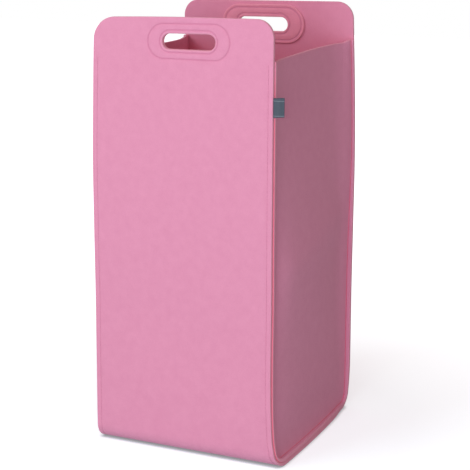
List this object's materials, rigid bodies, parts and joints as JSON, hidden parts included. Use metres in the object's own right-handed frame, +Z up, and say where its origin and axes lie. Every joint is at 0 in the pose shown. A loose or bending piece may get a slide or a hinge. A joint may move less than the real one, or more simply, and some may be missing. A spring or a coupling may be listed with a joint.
{
  "type": "laundry hamper",
  "caption": "Tall free-standing laundry hamper of thick felt with raised front and back walls, sewn-in side panels, oval hand holes and a small woven label; folds flat front to back.",
  "frame": {"origin": "centre of the underside, on the floor", "axes": "+Z up, +X to the right seen from the front, +Y from the front wall to the back wall"},
  "size_m": [0.318, 0.32, 0.67],
  "materials": {
    "felt": "matte pressed pink felt, fine fibres",
    "patch_felt": "matte thinner pink felt",
    "thread": "pink sewing thread with a slight sheen",
    "label": "woven slate-blue ribbon"
  },
  "bodies": {
    "back": {"back_wall": "felt", "base_panel": "felt", "left_side_panel": "felt", "right_side_panel": "felt", "left_side_back_edge": "felt", "right_side_back_edge": "felt", "back_handle_patch": "patch_felt", "back_handle_rim_needle_thread": "thread", "back_handle_rim_bobbin_thread": "thread", "back_handle_patch_needle_thread": "thread", "back_handle_patch_bobbin_thread": "thread", "left_back_seam_needle_thread": "thread", "left_back_seam_bobbin_thread": "thread", "right_back_seam_needle_thread": "thread", "right_back_seam_bobbin_thread": "thread", "left_base_seam_needle_thread": "thread", "left_base_seam_bobbin_thread": "thread", "right_base_seam_needle_thread": "thread", "right_base_seam_bobbin_thread": "thread"},
    "front": {"front_wall": "felt", "left_side_front_edge": "felt", "right_side_front_edge": "felt", "front_handle_patch": "patch_felt", "woven_label": "label", "front_handle_rim_needle_thread": "thread", "front_handle_rim_bobbin_thread": "thread", "front_handle_patch_needle_thread": "thread", "front_handle_patch_bobbin_thread": "thread", "left_front_seam_needle_thread": "thread", "left_front_seam_bobbin_thread": "thread", "right_front_seam_needle_thread": "thread", "right_front_seam_bobbin_thread": "thread"}
  },
  "joints": [
    {"name": "fold_flat", "type": "slide", "parent": "back", "child": "front", "axis": [0, 1, 0], "range_m": [0, 0.242], "deforming": ["base_panel", "left_side_panel", "right_side_panel", "left_base_seam_needle_thread", "left_base_seam_bobbin_thread", "right_base_seam_needle_thread", "right_base_seam_bobbin_thread"]}
  ]
}
